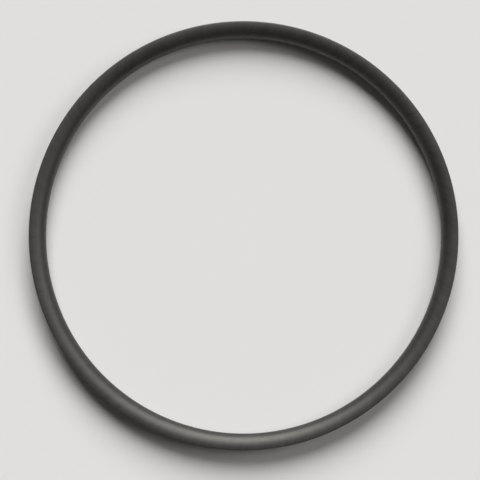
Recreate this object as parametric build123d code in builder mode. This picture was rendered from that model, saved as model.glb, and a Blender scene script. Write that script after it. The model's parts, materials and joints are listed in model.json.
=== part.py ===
from build123d import *

import os
from math import asin, cos, degrees, radians, sin, tan

# Bicycle rim: one moulded ring with a hollow section. Units are millimetres.
# The wheel's axis is Z, the origin is the rim's centre on its mid plane, and the valve hole faces -Y.

# Tyre side
bead_seat_diameter = 622.0
inner_width = 30.0
flange_height = 5.2
flange_thickness = 3.0
lip_round = 1.35
seat_width = 4.2
seat_corner = 1.0
hump_height = 0.35
hump_rise = 0.9
hump_round = 0.6
well_depth = 3.2
well_slope = 45.0
well_round = 1.6

# Wheel side
rim_depth = 24.0
side_flat = 4.0
bed_land = 8.0

# Walls round the hollow chamber
tyre_bed = 1.1
sidewall = 1.1
spoke_bed = 2.2
chamber_corner = 2.0

# Holes
spoke_pairs = 14
spoke_hole = 4.6
spoke_lean = 5.5
access_hole = 9.0
valve_hole = 6.5
valve_angle = -90.0

# Radii and half widths that follow from the sizes above
seat_radius = bead_seat_diameter / 2
lip_radius = seat_radius + flange_height
bed_radius = lip_radius - rim_depth
shoulder_radius = lip_radius - side_flat
well_radius = seat_radius - well_depth
hump_radius = seat_radius + hump_height
half_inner = inner_width / 2
half_width = half_inner + flange_thickness
half_land = bed_land / 2
lip_round_limit = flange_thickness * 0.45
hump_foot = half_inner - seat_width
hump_crest = hump_foot - hump_rise
half_well = hump_crest - (hump_radius - well_radius) / tan(radians(well_slope))

# The chamber's roof lies one wall below the tyre bed and cuts off its curved sides
roof_shift = tyre_bed * tan(radians(well_slope / 2))
roof_radius = seat_radius - tyre_bed
well_roof_radius = well_radius - tyre_bed
half_well_roof = half_well + roof_shift
half_roof = half_well_roof + well_depth / tan(radians(well_slope))
floor_radius = bed_radius + spoke_bed
half_chamber = half_width - sidewall
roof_turn = degrees(asin((shoulder_radius - roof_radius) / (shoulder_radius - floor_radius)))
roof_edge = half_land + (half_chamber - half_land) * cos(radians(roof_turn))

# The holes' lines cross the middle of the spoke bed on the mid plane
bed_middle = bed_radius + spoke_bed / 2
chamber_middle = (floor_radius + well_roof_radius) / 2
drill_reach = lip_radius - bed_middle
hole_pitch = 180 / spoke_pairs

os.makedirs("parts", exist_ok=True)


def at_radius(sketch, radius):
    """The corners of a section at this distance from the wheel's axis."""
    return sketch.vertices().filter_by(lambda corner: abs(corner.X - radius) < 0.001)


def beside_well(corner):
    """Whether a corner of a section lies nearer to the well than the middle of the bead seat."""
    return abs(corner.Y) < half_inner - seat_width / 2


def beside_flange(corner):
    """Whether a corner of a section lies at a flange."""
    return not beside_well(corner)


with BuildPart() as rim:
    # Outside of the section: spoke bed, curved sides, flanges, bead seats, humps and well
    with BuildSketch(Plane.XZ) as section:
        with BuildLine():
            EllipticalCenterArc(
                (shoulder_radius, half_land),
                shoulder_radius - bed_radius,
                half_width - half_land,
                start_angle=90,
                arc_size=90,
            )
            Polyline(
                (shoulder_radius, half_width),
                (lip_radius, half_width),
                (lip_radius, half_inner),
                (seat_radius, half_inner),
                (seat_radius, hump_foot),
                (hump_radius, hump_crest),
                (well_radius, half_well),
            )
            mirror(about=Plane.XZ)
            Line((well_radius, half_well), (well_radius, -half_well))
            Line((bed_radius, half_land), (bed_radius, -half_land))
        make_face()
        fillet(at_radius(section, well_radius), radius=well_round)
        fillet(at_radius(section, hump_radius), radius=hump_round)
        fillet(at_radius(section, seat_radius).filter_by(beside_well), radius=hump_round)
        fillet(at_radius(section, seat_radius).filter_by(beside_flange), radius=seat_corner)
        fillet(at_radius(section, lip_radius), radius=min(lip_round, lip_round_limit))
    revolve(axis=Axis.Z)

    # Hollow chamber between the tyre bed, the sides and the spoke bed
    with BuildSketch(Plane.XZ) as chamber:
        with BuildLine():
            EllipticalCenterArc(
                (shoulder_radius, half_land),
                shoulder_radius - floor_radius,
                half_chamber - half_land,
                start_angle=90 + roof_turn,
                arc_size=90 - roof_turn,
            )
            Polyline(
                (roof_radius, roof_edge),
                (roof_radius, half_roof),
                (well_roof_radius, half_well_roof),
            )
            mirror(about=Plane.XZ)
            Line((well_roof_radius, half_well_roof), (well_roof_radius, -half_well_roof))
            Line((floor_radius, half_land), (floor_radius, -half_land))
        make_face()
        fillet(at_radius(chamber, well_roof_radius), radius=well_round + tyre_bed)
        fillet(at_radius(chamber, roof_radius).filter_by(beside_well), radius=hump_round)
        fillet(at_radius(chamber, roof_radius).filter_by(beside_flange), radius=chamber_corner)
    revolve(axis=Axis.Z, mode=Mode.SUBTRACT)

    # Spoke holes lean by turns to one hub flange and the other, each under its wider access hole
    for lean, turn in ((spoke_lean, hole_pitch / 2), (-spoke_lean, hole_pitch * 3 / 2)):
        outside = Location(
            (bed_middle + drill_reach * cos(radians(lean)), 0, drill_reach * sin(radians(lean))),
            (0, 90 - lean, 0),
        )
        with PolarLocations(0, spoke_pairs, start_angle=valve_angle + turn):
            with Locations(outside):
                CounterBoreHole(
                    radius=spoke_hole / 2,
                    counter_bore_radius=access_hole / 2,
                    counter_bore_depth=lip_radius - chamber_middle,
                    depth=drill_reach + 2 * spoke_bed,
                )

    # Valve hole through both walls, midway between two spoke holes
    with PolarLocations(0, 1, start_angle=valve_angle):
        with Locations(Location((lip_radius, 0, 0), (0, 90, 0))):
            Hole(radius=valve_hole / 2, depth=rim_depth + spoke_bed)

rim.part.label = "rim"
export_step(rim.part, "parts/rim.step")
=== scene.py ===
import json
import math
from types import SimpleNamespace

import bmesh
import bpy
from mathutils import Matrix, Vector


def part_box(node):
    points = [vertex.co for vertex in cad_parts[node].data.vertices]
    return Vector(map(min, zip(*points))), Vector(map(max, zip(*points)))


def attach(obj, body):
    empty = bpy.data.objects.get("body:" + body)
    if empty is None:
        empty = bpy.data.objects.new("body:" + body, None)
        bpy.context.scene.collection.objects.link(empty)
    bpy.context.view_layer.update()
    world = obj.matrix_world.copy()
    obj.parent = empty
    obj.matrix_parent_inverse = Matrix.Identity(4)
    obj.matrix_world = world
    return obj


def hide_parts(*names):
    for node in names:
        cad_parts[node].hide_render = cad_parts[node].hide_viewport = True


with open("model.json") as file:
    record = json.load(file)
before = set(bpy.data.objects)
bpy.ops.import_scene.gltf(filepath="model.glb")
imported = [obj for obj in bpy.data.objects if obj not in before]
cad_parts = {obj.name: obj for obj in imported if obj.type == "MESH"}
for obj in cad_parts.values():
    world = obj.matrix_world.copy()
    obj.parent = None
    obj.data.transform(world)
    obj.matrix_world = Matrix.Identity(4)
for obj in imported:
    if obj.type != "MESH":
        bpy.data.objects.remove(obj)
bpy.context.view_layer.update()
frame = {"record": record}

# Sizes and places that the frame gives: lengths are in millimetres, and VALVE_TURN is a share of a full turn
MM = 1000
MOUNTS = {mount["name"]: mount for mount in frame["record"]["mounts"]}
RIM_LOW, RIM_HIGH = (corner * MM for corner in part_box("rim"))
LIP_RADIUS = RIM_HIGH.x
HALF_WIDTH = RIM_HIGH.z
BED_RADIUS = MOUNTS["inner_circle"]["dims"]["r_mm"]
HALF_LAND = MOUNTS["inner_circle"]["dims"]["length_mm"] / 2
SEAT_RADIUS = MOUNTS["tyre_seat"]["dims"]["r_mm"]
HALF_INNER = MOUNTS["tyre_seat"]["dims"]["length_mm"] / 2
VALVE_HOLE = MOUNTS["valve_hole"]
VALVE_RADIUS = VALVE_HOLE["dims"]["r_mm"]
VALVE_TURN = math.atan2(VALVE_HOLE["axis"][1], VALVE_HOLE["axis"][0]) / math.tau
WELL_RADIUS = BED_RADIUS + VALVE_HOLE["dims"]["length_mm"]
SPOKE_HOLES = [mount for name, mount in MOUNTS.items() if name.startswith("spoke_hole_")]
SPOKE_RADIUS = SPOKE_HOLES[0]["dims"]["r_mm"]
SPOKE_LEAN = math.asin(SPOKE_HOLES[0]["axis"][2])
BED_MIDDLE = Vector(SPOKE_HOLES[0]["pos_m"]).length * MM

# Sizes of the section that the frame doesn't state, in millimetres
SIDE_FLAT = 4.0
LIP_ROUND = 1.35
SEAT_WIDTH = 4.2
SEAT_CORNER = 1.0
HUMP_HEIGHT = 0.35
HUMP_RISE = 0.9
HUMP_ROUND = 0.6
WELL_SLOPE = math.radians(45)
WELL_ROUND = 1.6
WALL = 1.1
CHAMBER_CORNER = 2.0
ACCESS_RADIUS = 4.5

# Places in the section that follow from the sizes above
SHOULDER = LIP_RADIUS - SIDE_FLAT
HUMP_RADIUS = SEAT_RADIUS + HUMP_HEIGHT
HUMP_FOOT = HALF_INNER - SEAT_WIDTH
HUMP_CREST = HUMP_FOOT - HUMP_RISE
HALF_WELL = HUMP_CREST - (HUMP_RADIUS - WELL_RADIUS) / math.tan(WELL_SLOPE)
CHAMBER_FLOOR = 2 * BED_MIDDLE - BED_RADIUS
CHAMBER_ROOF = SEAT_RADIUS - WALL
WELL_ROOF = WELL_RADIUS - WALL
HALF_WELL_ROOF = HALF_WELL + WALL * math.tan(WELL_SLOPE / 2)
HALF_ROOF = HALF_WELL_ROOF + (CHAMBER_ROOF - WELL_ROOF) / math.tan(WELL_SLOPE)
CHAMBER_MIDDLE = (CHAMBER_FLOOR + WELL_ROOF) / 2

# The ring's mesh: lengths are in millimetres
RING_SEGMENTS = 480
CHAMBER_SEGMENTS = 168
SIDE_STEPS = 24
CORNER_STEPS = 4
ROUND_STEPS = 5
DRILL_SIDES = 48
DRILL_CLEARANCE = 5.0
JOIN_DISTANCE = 0.002
SHARP_EDGE = math.radians(40)

# Plies of carbon, each of straight fibres laid across the ring's line. Lengths are in millimetres,
# TAPE_JOINT is a share of the tape's width, and the plies above the mid plane count on from UPPER_PLY_START.
PLIES = 16
UPPER_PLY_START = 57.0
PLY_SLANT = 0.8
PLY_EDGE = 0.9
SECTION_CENTRE = 306.0
SECTION_RADIUS = 16.0
PLY_LENGTH = math.tau * SECTION_CENTRE / PLIES
FIBRE_ANGLE = math.radians(38)
FIBRE_SPREAD = math.radians(16)
TAPE_WIDTH = 13.0
TAPE_JOINT = 0.03
TAPE_JOINT_WEIGHT = 0.5

# Noise in the carbon, with its sizes in millimetres. A streak has a length and a width on the plies,
# a length and a width in the tyre channel, and the detail of its noise.
STREAKS = {
    "broad": ((120.0, 5.0), (160.0, 4.0), 2.0),
    "tow": ((45.0, 1.1), (90.0, 1.0), 2.0),
    "fine": ((16.0, 0.24), (30.0, 0.25), 1.0),
}
NOISE_ROUGHNESS = 0.55
PLY_NOISE_STEP = 5.31
LUCK_OFFSET = 0.37
MOTTLE_SIZE = 9.0
MOTTLE_DETAIL = 3.0
GRAIN_SIZE = 0.7
CUT_LAYER = 0.2
CUT_LAYER_RUN = 20.0

# Where the tyre channel's finish begins, and how far from a hole its cut edge ends, in millimetres
CHANNEL_SIDE = (HALF_INNER - 0.1, HALF_INNER + 0.5)
CHANNEL_FLOOR = (SEAT_RADIUS - 6.0, SEAT_RADIUS - 4.5)
CUT_EDGE = (0.08, 0.4)

# The carbon's finish, and what each kind of mark adds to its tone, its roughness and its relief
CARBON_DARK = (0.0072, 0.0069, 0.0066, 1)
CARBON_LIGHT = (0.0275, 0.0263, 0.0252, 1)
TONE_WEIGHTS = {"broad": 0.55, "tow": 0.45, "fine": 0.5, "luck": 0.12, "seams": -0.25}
TONE_RANGE = (0.51, 1.16)
LACQUER_SPECULAR = 0.8
LACQUER_TINT = (1.0, 0.955, 0.91, 1)
LACQUER_ROUGHNESS = 0.40
ROUGHNESS_WEIGHTS = {"mottle": 0.10, "tow": 0.10, "channel": -0.08}
CUT_COLOUR = (0.052, 0.049, 0.045, 1)
CUT_ROUGHNESS = 0.75
RELIEF_WEIGHTS = {"tow": 0.35, "fine": 0.2, "grain": 0.15, "seams": -0.3, "cut": -2.0}
RELIEF_STRENGTH = 0.25
RELIEF_HEIGHT = 0.1

# The studio: lengths are in metres, and the backdrop's rise is the sine of the angle above the horizon
FLOOR_HALF = 12.0
FLOOR_COLOUR = (0.74, 0.73, 0.715, 1)
FLOOR_BOUNCE = (0.30, 0.296, 0.29, 1)
FLOOR_ROUGHNESS = 0.85
FLOOR_SPECULAR = 0.2
BACKDROP_ABOVE = (0.05, 0.0494, 0.0485, 1)
BACKDROP_RISE = (0.09, 0.2)
LAMP_DISTANCE = 9.0

# The ring in the photo, in pixels of its 480 by 480 frame
FRAME_PX = 480
RING_CENTRE_PX = (243.6, 235.5)
RING_RADIUS_PX = 215.0

# The camera: its distance is in metres and its sensor in millimetres
VIEW_TURN = math.radians(4.2)
VIEW_TILT = math.radians(2.0)
CAMERA_DISTANCE = 3.4
SENSOR = 36.0


class Graph:
    """Short calls for building the nodes of a material or of the world."""

    def __init__(self, tree):
        self.tree = tree

    def node(self, kind, inputs=(), **settings):
        made = self.tree.nodes.new(kind)
        for key, value in settings.items():
            setattr(made, key, value)
        for key, value in dict(inputs).items():
            self.put(made.inputs[key], value)
        return made

    def put(self, socket, value):
        if isinstance(value, bpy.types.NodeSocket):
            self.tree.links.new(value, socket)
        else:
            socket.default_value = value

    def math(self, operation, *values):
        made = self.node("ShaderNodeMath", operation=operation)
        for socket, value in zip(made.inputs, values):
            self.put(socket, value)
        return made.outputs[0]

    def add(self, first, second):
        return self.math("ADD", first, second)

    def minus(self, first, second):
        return self.math("SUBTRACT", first, second)

    def times(self, first, second):
        return self.math("MULTIPLY", first, second)

    def over(self, first, second):
        return self.math("DIVIDE", first, second)

    def length(self, x, y):
        return self.math("SQRT", self.add(self.times(x, x), self.times(y, y)))

    def weigh(self, weights, values, start=0.0):
        """The start and the values that the weights name, each times its weight, added up."""
        total = start
        for name, weight in weights.items():
            total = self.add(total, self.times(values[name], weight))
        return total

    def vector(self, x, y, z):
        return self.node("ShaderNodeCombineXYZ", {"X": x, "Y": y, "Z": z}).outputs[0]

    def axes(self, vector):
        return self.node("ShaderNodeSeparateXYZ", {"Vector": vector}).outputs

    def blend(self, share, low, high):
        made = self.node("ShaderNodeMix", data_type="FLOAT")
        self.put(made.inputs[0], share)
        self.put(made.inputs[2], low)
        self.put(made.inputs[3], high)
        return made.outputs[0]

    def blend_colour(self, share, low, high):
        made = self.node("ShaderNodeMix", data_type="RGBA")
        self.put(made.inputs[0], share)
        self.put(made.inputs[6], low)
        self.put(made.inputs[7], high)
        return made.outputs[2]

    def rise(self, value, low, high):
        """0 up to low, 1 from high on, and a smooth step between them."""
        made = self.node("ShaderNodeMapRange", interpolation_type="SMOOTHSTEP")
        for socket, given in zip(made.inputs, (value, low, high, 0.0, 1.0)):
            self.put(socket, given)
        return made.outputs[0]

    def fall(self, value, low, high):
        """1 up to low, 0 from high on, and a smooth step between them."""
        return self.minus(1.0, self.rise(value, low, high))

    def from_end(self, share):
        """How far a share of a run is from the nearer end of that run."""
        return self.math("MINIMUM", share, self.minus(1.0, share))

    def noise(self, vector, detail=2.0, scale=1.0):
        inputs = {"Vector": vector, "Scale": scale, "Detail": detail, "Roughness": NOISE_ROUGHNESS}
        return self.node("ShaderNodeTexNoise", inputs).outputs["Fac"]

    def chance(self, value):
        return self.node("ShaderNodeTexWhiteNoise", {"W": value}, noise_dimensions="1D").outputs["Value"]

    def finish(self, kind, shader):
        out = self.node(kind)
        self.put(out.inputs["Surface"], shader.outputs[0])


def new_material(name):
    material = bpy.data.materials.new(name)
    material.use_nodes = True
    material.node_tree.nodes.clear()
    return material, Graph(material.node_tree)


def find_spot(g):
    """A spot of the rim in millimetres: its axes, its radius, its way round the section, and its turn."""
    place = g.node("ShaderNodeTexCoord").outputs["Object"]
    scaled = g.node("ShaderNodeVectorMath", {"Vector": place, "Scale": float(MM)}, operation="SCALE")
    point = scaled.outputs[0]
    x, y, z = g.axes(point)
    radius = g.length(x, y)
    turn = g.over(g.math("ARCTAN2", y, x), math.tau)
    height = g.math("ABSOLUTE", z)
    lean = g.math("ARCTAN2", height, g.minus(radius, SECTION_CENTRE))
    girth = g.times(lean, SECTION_RADIUS)
    return SimpleNamespace(point=point, x=x, y=y, z=z, radius=radius, turn=turn, height=height, girth=girth)


def find_ply(g, spot):
    """The ply that a spot lies in, and where the spot is along and across the ply's fibres."""
    run = g.add(g.times(spot.turn, PLIES), g.times(spot.girth, PLY_SLANT / PLY_LENGTH))
    upper = g.math("GREATER_THAN", spot.z, 0.0)
    number = g.math("WRAP", g.math("FLOOR", run), PLIES, 0.0)
    number = g.add(number, g.times(upper, UPPER_PLY_START))
    share = g.math("FRACT", run)
    along = g.times(g.minus(share, 0.5), PLY_LENGTH)
    luck = g.chance(g.add(number, LUCK_OFFSET))
    angle = g.add(g.times(g.minus(luck, 0.5), FIBRE_SPREAD), FIBRE_ANGLE)
    cosine, sine = g.math("COSINE", angle), g.math("SINE", angle)
    fibre = g.add(g.times(along, cosine), g.times(spot.girth, sine))
    across = g.minus(g.times(spot.girth, cosine), g.times(along, sine))
    layer = g.times(number, PLY_NOISE_STEP)
    return SimpleNamespace(share=share, luck=luck, fibre=fibre, across=across, layer=layer)


def tyre_channel(g, spot):
    """1 between the flanges on the tyre's side, and 0 on the rest of the rim."""
    return g.times(g.fall(spot.height, *CHANNEL_SIDE), g.rise(spot.radius, *CHANNEL_FLOOR))


def cut_edges(g, spot):
    """How near a spot is to a drilled hole: 1 on the hole's wall, falling to 0 past its cut edge."""
    from_valve = g.minus(spot.turn, VALVE_TURN)
    circle = g.times(spot.radius, math.tau)
    run = g.times(from_valve, len(SPOKE_HOLES))
    side = g.math("COSINE", g.times(g.math("FLOOR", run), math.pi))
    arc = g.over(g.times(g.minus(g.math("FRACT", run), 0.5), circle), len(SPOKE_HOLES))
    climb = g.times(g.minus(spot.radius, BED_MIDDLE), math.tan(SPOKE_LEAN))
    off_line = g.minus(spot.z, g.times(side, climb))
    bore = g.blend(g.math("GREATER_THAN", spot.radius, CHAMBER_MIDDLE), SPOKE_RADIUS, ACCESS_RADIUS)
    spoke_gap = g.minus(g.length(arc, off_line), bore)
    valve_gap = g.minus(g.length(g.times(from_valve, circle), spot.z), VALVE_RADIUS)
    return g.fall(g.math("MINIMUM", spoke_gap, valve_gap), *CUT_EDGE)


def ply_seams(g, ply):
    """1 on the edges of the plies, and less on the joints between the tapes in them."""
    ply_edge = g.fall(g.times(g.from_end(ply.share), PLY_LENGTH), 0.0, PLY_EDGE)
    tape = g.math("FRACT", g.over(ply.across, TAPE_WIDTH))
    tape_joint = g.fall(g.from_end(tape), 0.0, TAPE_JOINT)
    return g.math("MAXIMUM", ply_edge, g.times(tape_joint, TAPE_JOINT_WEIGHT))


def streaks(g, spot, ply, channel, ply_size, hoop_size, detail):
    """Noise drawn out along the fibres: slanting on the plies, and round the rim in the tyre channel."""
    on_ply = g.vector(g.over(ply.fibre, ply_size[0]), g.over(ply.across, ply_size[1]), ply.layer)
    east, north = g.over(spot.x, hoop_size[0]), g.over(spot.y, hoop_size[0])
    in_channel = g.vector(east, north, g.over(g.add(spot.z, spot.radius), hoop_size[1]))
    return g.blend(channel, g.noise(on_ply, detail), g.noise(in_channel, detail))


def carbon_marks(g):
    """All that marks the carbon, by name, such as its streaks, its seams and its cut edges."""
    spot = find_spot(g)
    ply = find_ply(g, spot)
    channel = tyre_channel(g, spot)
    cut_layers = g.vector(g.over(spot.radius, CUT_LAYER), g.over(spot.z, CUT_LAYER_RUN), spot.turn)
    marks = {name: streaks(g, spot, ply, channel, *sizes) for name, sizes in STREAKS.items()}
    marks["luck"] = ply.luck
    marks["seams"] = g.times(ply_seams(g, ply), g.minus(1.0, channel))
    marks["channel"] = channel
    marks["mottle"] = g.noise(spot.point, MOTTLE_DETAIL, 1 / MOTTLE_SIZE)
    marks["grain"] = g.noise(spot.point, scale=1 / GRAIN_SIZE)
    marks["cut"] = cut_edges(g, spot)
    marks["cut_layers"] = g.noise(cut_layers)
    return marks


def carbon_material():
    """Matte lacquer over slanting plies, hoop fibres in the tyre channel and bare cut edges at the holes."""
    material, g = new_material("matte_carbon")
    marks = carbon_marks(g)
    tone = g.rise(g.weigh(TONE_WEIGHTS, marks), *TONE_RANGE)
    laid = g.blend_colour(tone, CARBON_DARK, CARBON_LIGHT)
    bare = g.blend_colour(marks["cut_layers"], CARBON_DARK, CUT_COLOUR)
    roughness = g.weigh(ROUGHNESS_WEIGHTS, marks, start=LACQUER_ROUGHNESS)
    bump = g.node("ShaderNodeBump", {
        "Strength": RELIEF_STRENGTH,
        "Distance": RELIEF_HEIGHT / MM,
        "Height": g.weigh(RELIEF_WEIGHTS, marks),
    })
    shader = g.node("ShaderNodeBsdfPrincipled", {
        "Base Color": g.blend_colour(marks["cut"], laid, bare),
        "Roughness": g.blend(marks["cut"], roughness, CUT_ROUGHNESS),
        "Normal": bump.outputs[0],
        "Specular IOR Level": LACQUER_SPECULAR,
        "Specular Tint": LACQUER_TINT,
    })
    g.finish("ShaderNodeOutputMaterial", shader)
    return material


def floor_material():
    """Pale to the camera and in reflections, with less light thrown back on the rim."""
    material, g = new_material("studio_floor")
    path = g.node("ShaderNodeLightPath").outputs
    mirrored = g.math("MAXIMUM", path["Is Glossy Ray"], path["Is Transmission Ray"])
    shown = g.math("MAXIMUM", path["Is Camera Ray"], mirrored)
    shader = g.node("ShaderNodeBsdfPrincipled", {
        "Base Color": g.blend_colour(shown, FLOOR_BOUNCE, FLOOR_COLOUR),
        "Roughness": FLOOR_ROUGHNESS,
        "Specular IOR Level": FLOOR_SPECULAR,
    })
    g.finish("ShaderNodeOutputMaterial", shader)
    return material


def side_curve(floor, half_width, end=math.pi / 2):
    """The curved side of the section, from the edge of its land outwards."""
    curve = []
    for step in range(SIDE_STEPS + 1):
        turn = end * step / SIDE_STEPS
        reach = SHOULDER - (SHOULDER - floor) * math.cos(turn)
        curve.append((reach, HALF_LAND + (half_width - HALF_LAND) * math.sin(turn)))
    return curve


def rounded(corners):
    """A line through (radius, height, rounding) corners, with arcs in place of the rounded ones."""
    line = []
    for number, (reach, height, size) in enumerate(corners):
        corner = Vector((reach, height))
        if not size:
            line.append(corner)
            continue
        back = (Vector(corners[number - 1][:2]) - corner).normalized()
        ahead = (Vector(corners[number + 1][:2]) - corner).normalized()
        half = back.angle(ahead) / 2
        centre = corner + (back + ahead).normalized() * size / math.sin(half)
        start = (corner + back * size / math.tan(half) - centre).normalized()
        finish = (corner + ahead * size / math.tan(half) - centre).normalized()
        for step in range(ROUND_STEPS + 1):
            line.append(centre + size * start.slerp(finish, step / ROUND_STEPS))
    return line


def outside_half():
    """The section's outside above the mid plane, from the spoke bed round the flange to the well."""
    tyre_side = rounded([
        (SHOULDER, HALF_WIDTH, 0),
        (LIP_RADIUS, HALF_WIDTH, LIP_ROUND),
        (LIP_RADIUS, HALF_INNER, LIP_ROUND),
        (SEAT_RADIUS, HALF_INNER, SEAT_CORNER),
        (SEAT_RADIUS, HUMP_FOOT, HUMP_ROUND),
        (HUMP_RADIUS, HUMP_CREST, HUMP_ROUND),
        (WELL_RADIUS, HALF_WELL, WELL_ROUND),
        (WELL_RADIUS, 0, 0),
    ])
    return side_curve(BED_RADIUS, HALF_WIDTH) + tyre_side[1:-1]


def chamber_half():
    """The chamber's section above the mid plane. Its corner takes the place of the side's last few steps."""
    end = math.acos((SHOULDER - CHAMBER_ROOF) / (SHOULDER - CHAMBER_FLOOR))
    side = side_curve(CHAMBER_FLOOR, HALF_WIDTH - WALL, end)
    roof = rounded([
        (*side[-CORNER_STEPS], 0),
        (*side[-1], CHAMBER_CORNER),
        (CHAMBER_ROOF, HALF_ROOF, HUMP_ROUND),
        (WELL_ROOF, HALF_WELL_ROOF, WELL_ROUND + WALL),
        (WELL_ROOF, 0, 0),
    ])
    return side[:-CORNER_STEPS] + roof[:-1]


def add_ring(mesh, half, segments, hollow=False):
    """Turns half a section and its mirror image about the wheel's axis. A hollow faces the other way."""
    loop = [(reach, height) for reach, height in half]
    loop += [(reach, -height) for reach, height in reversed(half)]
    if hollow:
        loop.reverse()
    rows = []
    for number in range(segments):
        turn = math.tau * number / segments
        cosine, sine = math.cos(turn), math.sin(turn)
        rows.append([mesh.verts.new((reach * cosine, reach * sine, height)) for reach, height in loop])
    for row, following in zip(rows, rows[1:] + rows[:1]):
        for spot in range(len(loop)):
            mesh.faces.new((row[spot - 1], row[spot], following[spot], following[spot - 1]))


def add_drill(mesh, mount, profile):
    """A round drill on a mount's line, through (radius, reach) pairs measured from the mount's place."""
    place = Vector(mount["axis"]).to_track_quat("Z", "Y").to_matrix().to_4x4()
    place.translation = Vector(mount["pos_m"]) * MM
    turns = [math.tau * number / DRILL_SIDES for number in range(DRILL_SIDES)]
    rings = []
    for radius, reach in profile:
        spots = [Vector((radius * math.cos(turn), radius * math.sin(turn), reach)) for turn in turns]
        rings.append([mesh.verts.new(place @ spot) for spot in spots])
    for ring, following in zip(rings, rings[1:]):
        for spot in range(DRILL_SIDES):
            mesh.faces.new((ring[spot - 1], ring[spot], following[spot], following[spot - 1]))
    mesh.faces.new(rings[0][::-1])
    mesh.faces.new(rings[-1])


def ring_mesh():
    """The rim before its holes are drilled: its outside, and its chamber as a hollow in it."""
    ring = bmesh.new()
    add_ring(ring, outside_half(), RING_SEGMENTS)
    add_ring(ring, chamber_half(), CHAMBER_SEGMENTS, hollow=True)
    return ring


def drill_mesh():
    """A stepped drill for each spoke hole and its access hole, and a plain one for the valve hole."""
    drills = bmesh.new()
    step = CHAMBER_MIDDLE - BED_MIDDLE
    spoke_drill = [
        (SPOKE_RADIUS, BED_RADIUS - BED_MIDDLE - DRILL_CLEARANCE),
        (SPOKE_RADIUS, step),
        (ACCESS_RADIUS, step),
        (ACCESS_RADIUS, LIP_RADIUS - BED_MIDDLE + DRILL_CLEARANCE),
    ]
    for mount in SPOKE_HOLES:
        add_drill(drills, mount, spoke_drill)
    valve_reach = (WELL_RADIUS - BED_RADIUS) / 2 + DRILL_CLEARANCE
    add_drill(drills, VALVE_HOLE, [(VALVE_RADIUS, -valve_reach), (VALVE_RADIUS, valve_reach)])
    return drills


def add_object(name, data):
    made = bpy.data.objects.new(name, data)
    bpy.context.scene.collection.objects.link(made)
    return made


def add_built(name, built):
    """An object in metres, from a mesh that was built in millimetres."""
    built.transform(Matrix.Scale(1 / MM, 4))
    mesh = bpy.data.meshes.new(name)
    built.to_mesh(mesh)
    built.free()
    return add_object(name, mesh)


def drill(piece, drills):
    """Cuts the drills out of a piece and removes them."""
    holes = piece.modifiers.new("holes", "BOOLEAN")
    holes.operation = "DIFFERENCE"
    holes.solver = "EXACT"
    holes.object = drills
    drilled = piece.evaluated_get(bpy.context.evaluated_depsgraph_get())
    mesh = bpy.data.meshes.new_from_object(drilled)
    piece.modifiers.clear()
    piece.data = mesh
    bpy.data.objects.remove(drills)


def join_near_points(mesh):
    """Joins points of a mesh that all but coincide, as drilling leaves them."""
    built = bmesh.new()
    built.from_mesh(mesh)
    bmesh.ops.dissolve_degenerate(built, dist=JOIN_DISTANCE / MM, edges=built.edges)
    built.to_mesh(mesh)
    built.free()


def make_rim():
    piece = add_built("rim_ring", ring_mesh())
    drill(piece, add_built("drills", drill_mesh()))
    join_near_points(piece.data)
    piece.data.shade_smooth()
    piece.data.set_sharp_from_angle(angle=SHARP_EDGE)
    piece.data.materials.clear()
    piece.data.materials.append(carbon_material())
    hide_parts("rim")
    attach(piece, "root")


def make_floor():
    mesh = bpy.data.meshes.new("studio_floor")
    half, level = FLOOR_HALF, RIM_LOW.z / MM
    corners = [(-half, -half, level), (half, -half, level), (half, half, level), (-half, half, level)]
    mesh.from_pydata(corners, [], [(0, 1, 2, 3)])
    mesh.materials.append(floor_material())
    floor = add_object("studio_floor", mesh)


def make_camera():
    """Looks down on the rim, from a little to the valve's side, with the ring where the photo has it."""
    right = Vector((math.cos(VIEW_TURN), -math.sin(VIEW_TURN), 0))
    up = Vector((math.sin(VIEW_TURN), math.cos(VIEW_TURN), 0))
    back = Vector((0, 0, math.cos(VIEW_TILT))) - up * math.sin(VIEW_TILT)
    lip, top = LIP_RADIUS / MM, HALF_WIDTH / MM
    pixel = lip / RING_RADIUS_PX
    target = right * (FRAME_PX / 2 - RING_CENTRE_PX[0]) * pixel
    target += up * (RING_CENTRE_PX[1] - FRAME_PX / 2) * pixel
    data = bpy.data.cameras.new("camera")
    data.sensor_width = SENSOR
    data.lens = SENSOR * RING_RADIUS_PX * (CAMERA_DISTANCE - top) / (FRAME_PX * lip)
    camera = add_object("camera", data)
    camera.matrix_world = Matrix((right, back.cross(right), back)).transposed().to_4x4()
    camera.location = target + back * CAMERA_DISTANCE
    bpy.context.scene.camera = camera


def make_lamp(name, bearing, lean, spread, strength):
    """A round soft light far off. Its bearing runs clockwise from +Y, and it leans off straight up."""
    bearing, lean = math.radians(bearing), math.radians(lean)
    across = math.sin(lean)
    back = Vector((across * math.sin(bearing), across * math.cos(bearing), math.cos(lean)))
    data = bpy.data.lights.new(name, "SUN")
    data.angle = math.radians(spread)
    data.energy = strength
    lamp = add_object(name, data)
    lamp.rotation_euler = back.to_track_quat("Z", "Y").to_euler()
    lamp.location = back * LAMP_DISTANCE


def make_world():
    """A backdrop that is as pale as the floor along the horizon, and dim above."""
    world = bpy.data.worlds.new("studio")
    world.use_nodes = True
    world.node_tree.nodes.clear()
    g = Graph(world.node_tree)
    direction = g.axes(g.node("ShaderNodeTexCoord").outputs["Generated"])
    colour = g.blend_colour(g.rise(direction["Z"], *BACKDROP_RISE), FLOOR_COLOUR, BACKDROP_ABOVE)
    g.finish("ShaderNodeOutputWorld", g.node("ShaderNodeBackground", {"Color": colour}))
    bpy.context.scene.world = world


make_rim()
make_floor()
make_camera()
make_lamp("key", bearing=6, lean=49, spread=43, strength=3.75)
make_lamp("fill", bearing=80, lean=40, spread=31, strength=0.66)
make_world()
bpy.context.scene.view_settings.view_transform = "Standard"
